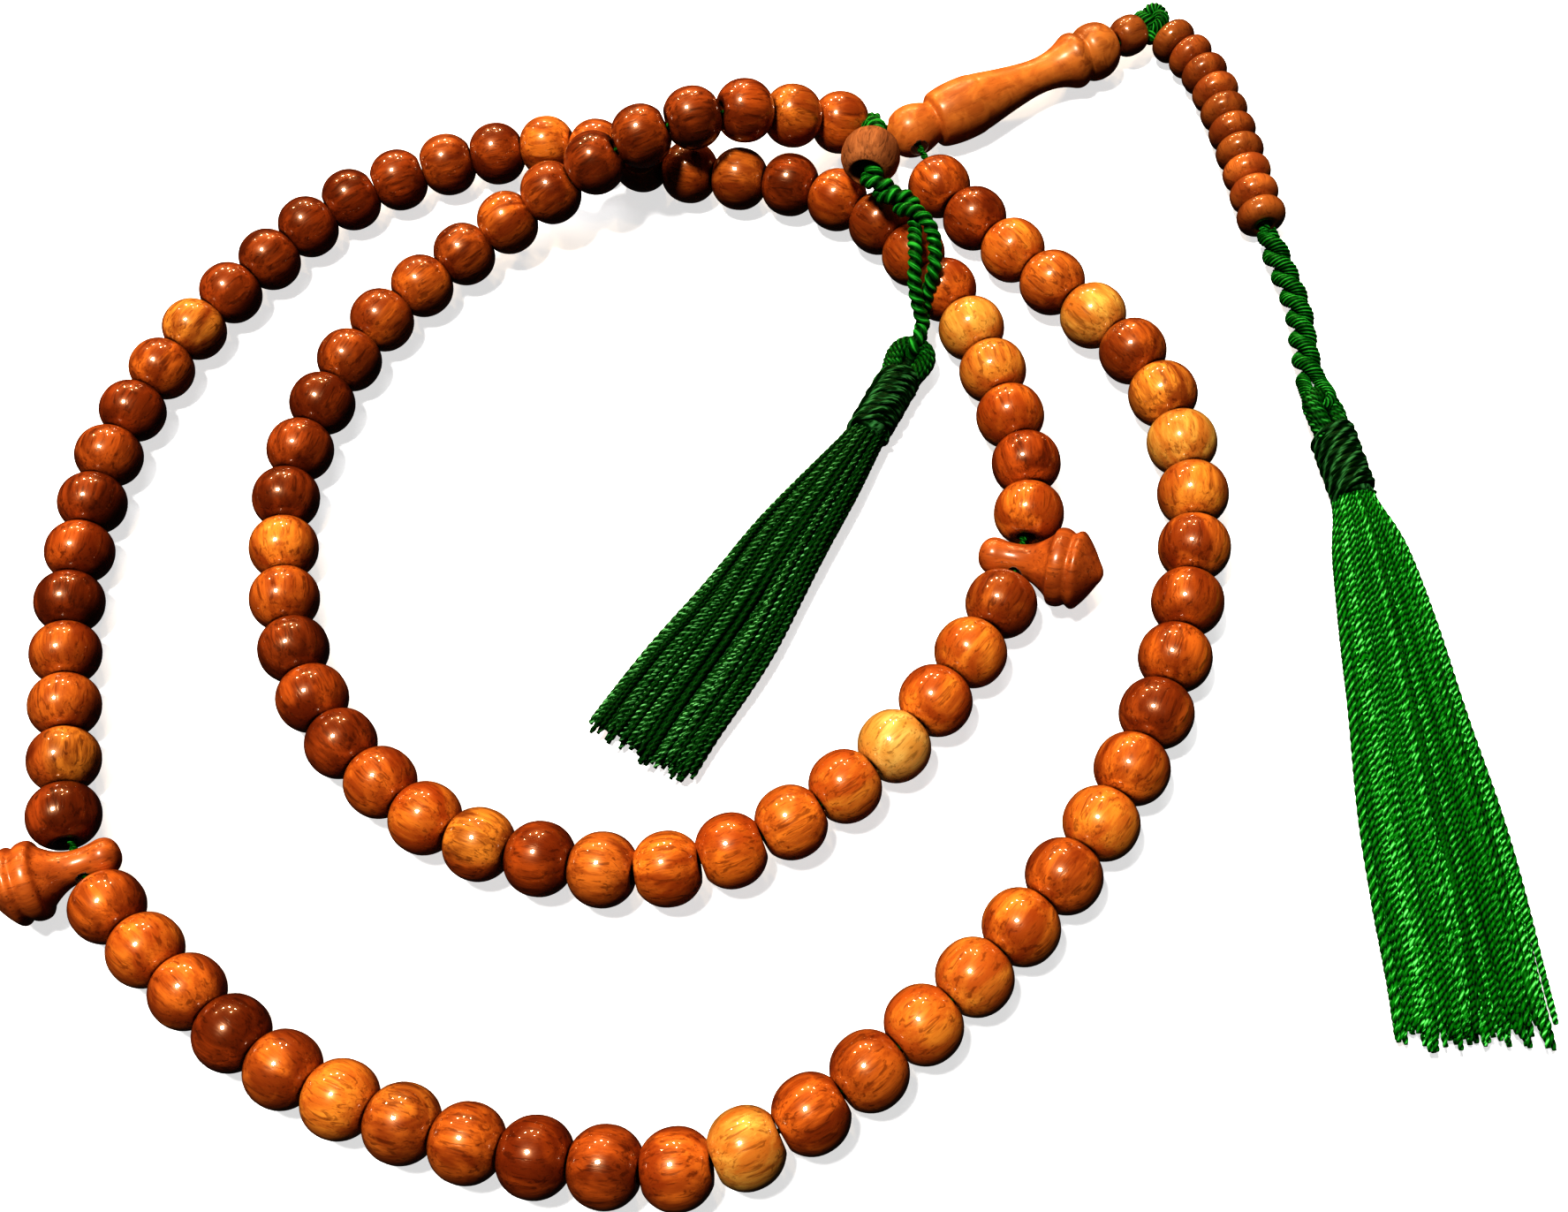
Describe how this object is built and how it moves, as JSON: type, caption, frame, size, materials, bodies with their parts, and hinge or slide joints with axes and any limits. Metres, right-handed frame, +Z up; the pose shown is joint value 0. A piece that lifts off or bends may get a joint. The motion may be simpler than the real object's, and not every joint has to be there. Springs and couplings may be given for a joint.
{
  "type": "misbaha prayer beads",
  "caption": "Wooden prayer bead strand laid in a double loop, with a turned leader, two bobbin separators, a row of small counters, a cup bead and two green thread tassels.",
  "frame": {"origin": "on the surface that the strand lies on, under the middle of the layout", "axes": "+Z up out of the surface; +X along the layout's longest side, towards the long tassel; +Y away from the viewer, towards the crossing and the leader"},
  "size_m": [0.1605, 0.141, 0.0167],
  "materials": {
    "bead_wood": "polished, glossy, each bead its own tone",
    "counter_wood": "polished, glossy",
    "satin_wood": "satin",
    "raw_wood": "unpolished, matt",
    "cord_thread": "twisted shiny thread",
    "binding_thread": "close turns of shiny thread",
    "tassel_thread": "twisted shiny threads"
  },
  "bodies": {
    "strand": {"main_cord": "cord_thread", "beads_section_1": "bead_wood", "beads_section_2": "bead_wood", "beads_section_3": "bead_wood", "hanger_cord": "cord_thread", "hanger_loop": "cord_thread"},
    "bead_01": {"bead_01": "bead_wood"},
    "bead_04": {"bead_04": "bead_wood"},
    "bead_07": {"bead_07": "bead_wood"},
    "bead_10": {"bead_10": "bead_wood"},
    "bead_13": {"bead_13": "bead_wood"},
    "bead_16": {"bead_16": "bead_wood"},
    "bead_19": {"bead_19": "bead_wood"},
    "bead_22": {"bead_22": "bead_wood"},
    "bead_25": {"bead_25": "bead_wood"},
    "bead_28": {"bead_28": "bead_wood"},
    "bead_34": {"bead_34": "bead_wood"},
    "bead_37": {"bead_37": "bead_wood"},
    "bead_40": {"bead_40": "bead_wood"},
    "bead_43": {"bead_43": "bead_wood"},
    "bead_46": {"bead_46": "bead_wood"},
    "bead_49": {"bead_49": "bead_wood"},
    "bead_52": {"bead_52": "bead_wood"},
    "bead_55": {"bead_55": "bead_wood"},
    "bead_58": {"bead_58": "bead_wood"},
    "bead_61": {"bead_61": "bead_wood"},
    "bead_67": {"bead_67": "bead_wood"},
    "bead_70": {"bead_70": "bead_wood"},
    "bead_73": {"bead_73": "bead_wood"},
    "bead_76": {"bead_76": "bead_wood"},
    "bead_79": {"bead_79": "bead_wood"},
    "bead_82": {"bead_82": "bead_wood"},
    "bead_85": {"bead_85": "bead_wood"},
    "bead_88": {"bead_88": "bead_wood"},
    "bead_91": {"bead_91": "bead_wood"},
    "bead_94": {"bead_94": "bead_wood"},
    "separator_1": {"separator_1": "satin_wood"},
    "separator_2": {"separator_2": "satin_wood"},
    "leader": {"leader": "satin_wood", "leader_cord": "cord_thread", "knot": "cord_thread"},
    "end_bead": {"end_bead": "counter_wood"},
    "counter_01": {"counter_01": "counter_wood"},
    "counter_02": {"counter_02": "counter_wood"},
    "counter_03": {"counter_03": "counter_wood"},
    "counter_04": {"counter_04": "counter_wood"},
    "counter_05": {"counter_05": "counter_wood"},
    "counter_06": {"counter_06": "counter_wood"},
    "counter_07": {"counter_07": "counter_wood"},
    "counter_08": {"counter_08": "counter_wood"},
    "counter_09": {"counter_09": "counter_wood"},
    "counter_10": {"counter_10": "counter_wood"},
    "tail": {"tail_cord": "cord_thread"},
    "long_tassel": {"long_tassel_eye": "cord_thread", "long_tassel_binding": "binding_thread", "long_tassel_skirt": "tassel_thread"},
    "cup_bead": {"cup_bead": "raw_wood"},
    "short_tassel": {"short_tassel_eye": "cord_thread", "short_tassel_binding": "binding_thread", "short_tassel_skirt": "tassel_thread"}
  },
  "joints": [
    {"name": "bead_01_slide", "type": "slide", "parent": "strand", "child": "bead_01", "axis": [-0.3514, 0.9362, 0], "range_m": [0, 0.0007]},
    {"name": "bead_04_spin", "type": "hinge", "parent": "strand", "child": "bead_04", "pos_m": [0.04904, 0.0286, 0.004], "axis": [0.5086, -0.861, 0], "continuous": true},
    {"name": "bead_07_spin", "type": "hinge", "parent": "strand", "child": "bead_07", "pos_m": [0.05765, 0.00968, 0.004], "axis": [0.1457, -0.9893, 0], "continuous": true},
    {"name": "bead_10_spin", "type": "hinge", "parent": "strand", "child": "bead_10", "pos_m": [0.05548, -0.01098, 0.004], "axis": [-0.326, -0.9454, 0], "continuous": true},
    {"name": "bead_13_spin", "type": "hinge", "parent": "strand", "child": "bead_13", "pos_m": [0.04608, -0.02964, 0.004], "axis": [-0.5699, -0.8217, 0], "continuous": true},
    {"name": "bead_16_spin", "type": "hinge", "parent": "strand", "child": "bead_16", "pos_m": [0.03221, -0.04526, 0.004], "axis": [-0.7645, -0.6447, 0], "continuous": true},
    {"name": "bead_19_spin", "type": "hinge", "parent": "strand", "child": "bead_19", "pos_m": [0.01516, -0.05739, 0.004], "axis": [-0.8632, -0.5049, 0], "continuous": true},
    {"name": "bead_22_spin", "type": "hinge", "parent": "strand", "child": "bead_22", "pos_m": [-0.00392, -0.06582, 0.004], "axis": [-0.9697, -0.2442, 0], "continuous": true},
    {"name": "bead_25_spin", "type": "hinge", "parent": "strand", "child": "bead_25", "pos_m": [-0.02432, -0.06299, 0.004], "axis": [-0.9458, 0.3249, 0], "continuous": true},
    {"name": "bead_28_spin", "type": "hinge", "parent": "strand", "child": "bead_28", "pos_m": [-0.04317, -0.05394, 0.004], "axis": [-0.8497, 0.5272, 0], "continuous": true},
    {"name": "bead_34_spin", "type": "hinge", "parent": "strand", "child": "bead_34", "pos_m": [-0.07261, -0.0176, 0.004], "axis": [-0.1198, 0.9928, 0], "continuous": true},
    {"name": "bead_37_spin", "type": "hinge", "parent": "strand", "child": "bead_37", "pos_m": [-0.07322, 0.00274, 0.004], "axis": [-0.0252, 0.9997, 0], "continuous": true},
    {"name": "bead_40_spin", "type": "hinge", "parent": "strand", "child": "bead_40", "pos_m": [-0.07068, 0.02286, 0.004], "axis": [0.2015, 0.9795, 0], "continuous": true},
    {"name": "bead_43_spin", "type": "hinge", "parent": "strand", "child": "bead_43", "pos_m": [-0.06236, 0.04126, 0.004], "axis": [0.5704, 0.8214, 0], "continuous": true},
    {"name": "bead_46_spin", "type": "hinge", "parent": "strand", "child": "bead_46", "pos_m": [-0.04823, 0.05578, 0.004], "axis": [0.7682, 0.6402, 0], "continuous": true},
    {"name": "bead_49_spin", "type": "hinge", "parent": "strand", "child": "bead_49", "pos_m": [-0.03054, 0.0652, 0.004], "axis": [0.9768, 0.2143, 0], "continuous": true},
    {"name": "bead_52_spin", "type": "hinge", "parent": "strand", "child": "bead_52", "pos_m": [-0.01032, 0.06614, 0.004], "axis": [0.9841, -0.1779, 0], "continuous": true},
    {"name": "bead_55_spin", "type": "hinge", "parent": "strand", "child": "bead_55", "pos_m": [0.00776, 0.05712, 0.004], "axis": [0.8897, -0.4565, 0], "continuous": true},
    {"name": "bead_58_spin", "type": "hinge", "parent": "strand", "child": "bead_58", "pos_m": [0.02569, 0.04782, 0.004], "axis": [0.7354, -0.6776, 0], "continuous": true},
    {"name": "bead_61_spin", "type": "hinge", "parent": "strand", "child": "bead_61", "pos_m": [0.03599, 0.03056, 0.004], "axis": [0.3464, -0.9381, 0], "continuous": true},
    {"name": "bead_67_spin", "type": "hinge", "parent": "strand", "child": "bead_67", "pos_m": [0.033, -0.01343, 0.004], "axis": [-0.595, -0.8037, 0], "continuous": true},
    {"name": "bead_70_spin", "type": "hinge", "parent": "strand", "child": "bead_70", "pos_m": [0.01809, -0.02777, 0.004], "axis": [-0.825, -0.5652, 0], "continuous": true},
    {"name": "bead_73_spin", "type": "hinge", "parent": "strand", "child": "bead_73", "pos_m": [-0.00085, -0.03592, 0.004], "axis": [-0.9821, -0.1881, 0], "continuous": true},
    {"name": "bead_76_spin", "type": "hinge", "parent": "strand", "child": "bead_76", "pos_m": [-0.02095, -0.03286, 0.004], "axis": [-0.9329, 0.3601, 0], "continuous": true},
    {"name": "bead_79_spin", "type": "hinge", "parent": "strand", "child": "bead_79", "pos_m": [-0.03743, -0.02075, 0.004], "axis": [-0.6278, 0.7784, 0], "continuous": true},
    {"name": "bead_82_spin", "type": "hinge", "parent": "strand", "child": "bead_82", "pos_m": [-0.04655, -0.00238, 0.004], "axis": [-0.2123, 0.9772, 0], "continuous": true},
    {"name": "bead_85_spin", "type": "hinge", "parent": "strand", "child": "bead_85", "pos_m": [-0.04693, 0.01829, 0.004], "axis": [0.1634, 0.9866, 0], "continuous": true},
    {"name": "bead_88_spin", "type": "hinge", "parent": "strand", "child": "bead_88", "pos_m": [-0.03841, 0.03705, 0.004], "axis": [0.5724, 0.82, 0], "continuous": true},
    {"name": "bead_91_spin", "type": "hinge", "parent": "strand", "child": "bead_91", "pos_m": [-0.02274, 0.05036, 0.00416], "axis": [0.8706, 0.484, 0.0888], "continuous": true},
    {"name": "bead_94_spin", "type": "hinge", "parent": "strand", "child": "bead_94", "pos_m": [-0.00391, 0.05575, 0.01028], "axis": [0.91, 0.1509, 0.3862], "continuous": true},
    {"name": "separator_1_tip", "type": "hinge", "parent": "strand", "child": "separator_1", "pos_m": [-0.0708, -0.02381, 0.004], "axis": [-0.432, 0.9019, 0], "range_deg": [0, 20]},
    {"name": "separator_2_tip", "type": "hinge", "parent": "strand", "child": "separator_2", "pos_m": [0.03614, -0.00844, 0.004], "axis": [-0.4663, -0.8846, 0], "range_deg": [0, 90]},
    {"name": "leader_swing", "type": "hinge", "parent": "strand", "child": "leader", "pos_m": [0.0372, 0.0569, 0.004], "axis": [0, 0, 1], "range_deg": [-4, 8]},
    {"name": "end_bead_spin", "type": "hinge", "parent": "leader", "child": "end_bead", "pos_m": [0.06868, 0.06646, 0.00387], "axis": [0.925, 0.3757, -0.0562], "continuous": true},
    {"name": "counter_01_spin", "type": "hinge", "parent": "leader", "child": "counter_01", "pos_m": [0.0744, 0.06476, 0.0031], "axis": [0.3862, -0.9224, 0], "continuous": true},
    {"name": "counter_02_spin", "type": "hinge", "parent": "leader", "child": "counter_02", "pos_m": [0.07577, 0.0615, 0.0031], "axis": [0.3537, -0.9353, 0], "continuous": true},
    {"name": "counter_03_spin", "type": "hinge", "parent": "leader", "child": "counter_03", "pos_m": [0.07667, 0.0581, 0.0031], "axis": [0.1644, -0.9864, 0], "continuous": true},
    {"name": "counter_04_spin", "type": "hinge", "parent": "leader", "child": "counter_04", "pos_m": [0.07713, 0.0546, 0.0031], "axis": [0.0792, -0.9969, 0], "continuous": true},
    {"name": "counter_05_spin", "type": "hinge", "parent": "leader", "child": "counter_05", "pos_m": [0.07724, 0.05107, 0.0031], "axis": [0.0118, -0.9999, 0], "continuous": true},
    {"name": "counter_06_spin", "type": "hinge", "parent": "leader", "child": "counter_06", "pos_m": [0.07726, 0.04754, 0.0031], "axis": [-0.0068, -1, 0], "continuous": true},
    {"name": "counter_07_spin", "type": "hinge", "parent": "leader", "child": "counter_07", "pos_m": [0.07719, 0.04401, 0.0031], "axis": [-0.0312, -0.9995, 0], "continuous": true},
    {"name": "counter_08_spin", "type": "hinge", "parent": "leader", "child": "counter_08", "pos_m": [0.07706, 0.04049, 0.0031], "axis": [-0.0411, -0.9992, 0], "continuous": true},
    {"name": "counter_09_spin", "type": "hinge", "parent": "leader", "child": "counter_09", "pos_m": [0.07691, 0.03696, 0.0031], "axis": [-0.0411, -0.9992, 0], "continuous": true},
    {"name": "counter_10_spin", "type": "hinge", "parent": "leader", "child": "counter_10", "pos_m": [0.07677, 0.03343, 0.0031], "axis": [-0.0411, -0.9992, 0], "continuous": true},
    {"name": "tail_swing", "type": "hinge", "parent": "leader", "child": "tail", "pos_m": [0.0767, 0.0318, 0.0031], "axis": [0, 0, 1], "range_deg": [-5, 7]},
    {"name": "long_tassel_swing", "type": "hinge", "parent": "tail", "child": "long_tassel", "pos_m": [0.07523, 0.0059, 0.0032], "axis": [0, 0, 1], "range_deg": [-4, 15]},
    {"name": "cup_bead_spin", "type": "hinge", "parent": "strand", "child": "cup_bead", "pos_m": [0.0303, 0.0475, 0.0112], "axis": [-0.3429, -0.938, 0.0504], "continuous": true},
    {"name": "short_tassel_swing", "type": "hinge", "parent": "strand", "child": "short_tassel", "pos_m": [0.03, 0.0221, 0.003], "axis": [0, 0, 1], "range_deg": [-20, 3]}
  ]
}
